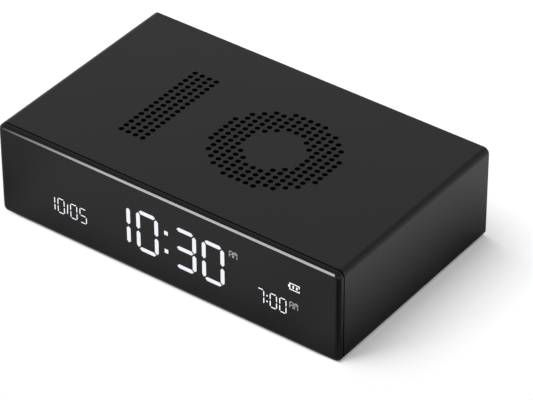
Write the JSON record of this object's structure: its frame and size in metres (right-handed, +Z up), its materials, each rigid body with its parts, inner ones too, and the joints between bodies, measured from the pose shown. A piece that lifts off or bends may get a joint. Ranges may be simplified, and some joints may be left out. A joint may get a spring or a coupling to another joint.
{
  "type": "digital alarm clock",
  "caption": "Digital alarm clock with a dark sleeve pierced for sound on top, a glossy front lens over its display, rear push buttons, a USB socket and a tilt switch.",
  "frame": {"origin": "centre of the bottom face of the clock's box, on the surface that it stands on", "axes": "+X to the right seen from the front, +Y from the display to the rear cover, +Z up"},
  "size_m": [0.105, 0.0636, 0.0268],
  "materials": {
    "anodised_black": "black anodised, fine satin blast",
    "smoked_lens": "smoked, polished",
    "tape": "adhesive tape",
    "black_moulding": "moulded, matt",
    "cover_moulding": "moulded, fine spark texture",
    "grey_moulding": "moulded, plain",
    "dark_steel": "black zinc",
    "plated_steel": "yellow zinc",
    "bright_steel": "nickel plated",
    "display_glass": "dark polarised glass",
    "clear_guide": "clear acrylic",
    "lamp": "moulded lamp",
    "contact_rubber": "layered conductive rubber",
    "circuit_board": "solder-masked laminate",
    "chip": "moulded package",
    "connector": "natural nylon",
    "ribbon_film": "polyimide film",
    "contact_brass": "turned",
    "battery_foil": "laminated foil pouch",
    "foam": "closed-cell foam",
    "lead_red": "insulated wire",
    "lead_yellow": "insulated wire",
    "lead_blue": "insulated wire",
    "screen_cloth": "woven dust screen, bonded flat",
    "speaker_paper": "coated paper",
    "basket_steel": "pressed steel",
    "magnet": "ferrite and steel yoke",
    "terminal_board": "fibre board",
    "button_plastic": "moulded, satin",
    "plunger_plastic": "moulded"
  },
  "bodies": {
    "case": {"case_sleeve": "anodised_black", "front_lens": "smoked_lens", "lens_tape": "tape", "display_frame": "black_moulding", "frame_screws": "dark_steel", "lcd_glass": "display_glass", "light_guide": "clear_guide", "guide_lamps": "lamp", "contact_strips": "contact_rubber", "display_board": "circuit_board", "display_board_screws": "plated_steel", "chassis_tray": "grey_moulding", "main_board": "circuit_board", "main_board_screws": "plated_steel", "board_chips": "chip", "board_plugs": "connector", "ribbon_sockets": "connector", "display_ribbon": "ribbon_film", "usb_shell": "bright_steel", "usb_tongue": "black_moulding", "tilt_switch_base": "contact_brass", "tilt_switch_can": "bright_steel", "battery_cell": "battery_foil", "battery_pad": "foam", "battery_leads": "lead_red", "dust_screen": "screen_cloth", "speaker_gasket": "foam", "speaker_cone": "speaker_paper", "speaker_basket": "basket_steel", "speaker_magnet": "magnet", "speaker_terminal": "terminal_board", "speaker_screws": "plated_steel", "speaker_leads": "lead_yellow", "rear_cover": "cover_moulding", "rear_screws": "dark_steel", "button_board": "circuit_board", "button_board_screws": "plated_steel", "switch_bodies": "chip", "button_leads": "lead_blue"},
    "mode_button": {"mode_button": "button_plastic", "mode_plunger": "plunger_plastic"},
    "alarm_button": {"alarm_button": "button_plastic", "alarm_plunger": "plunger_plastic"},
    "minus_button": {"minus_button": "button_plastic", "minus_plunger": "plunger_plastic"},
    "plus_button": {"plus_button": "button_plastic", "plus_plunger": "plunger_plastic"},
    "tilt_ball": {"tilt_ball": "bright_steel"}
  },
  "joints": [
    {"name": "mode_press", "type": "slide", "parent": "case", "child": "mode_button", "axis": [0, -1, 0], "range_m": [0, 0.0006], "stiffness_N_per_m": 1500},
    {"name": "alarm_press", "type": "slide", "parent": "case", "child": "alarm_button", "axis": [0, -1, 0], "range_m": [0, 0.0006], "stiffness_N_per_m": 1500},
    {"name": "minus_press", "type": "slide", "parent": "case", "child": "minus_button", "axis": [0, -1, 0], "range_m": [0, 0.0006], "stiffness_N_per_m": 1500},
    {"name": "plus_press", "type": "slide", "parent": "case", "child": "plus_button", "axis": [0, -1, 0], "range_m": [0, 0.0006], "stiffness_N_per_m": 1500},
    {"name": "ball_fall", "type": "slide", "parent": "case", "child": "tilt_ball", "axis": [0, 0, 1], "range_m": [0, 0.0026]}
  ]
}
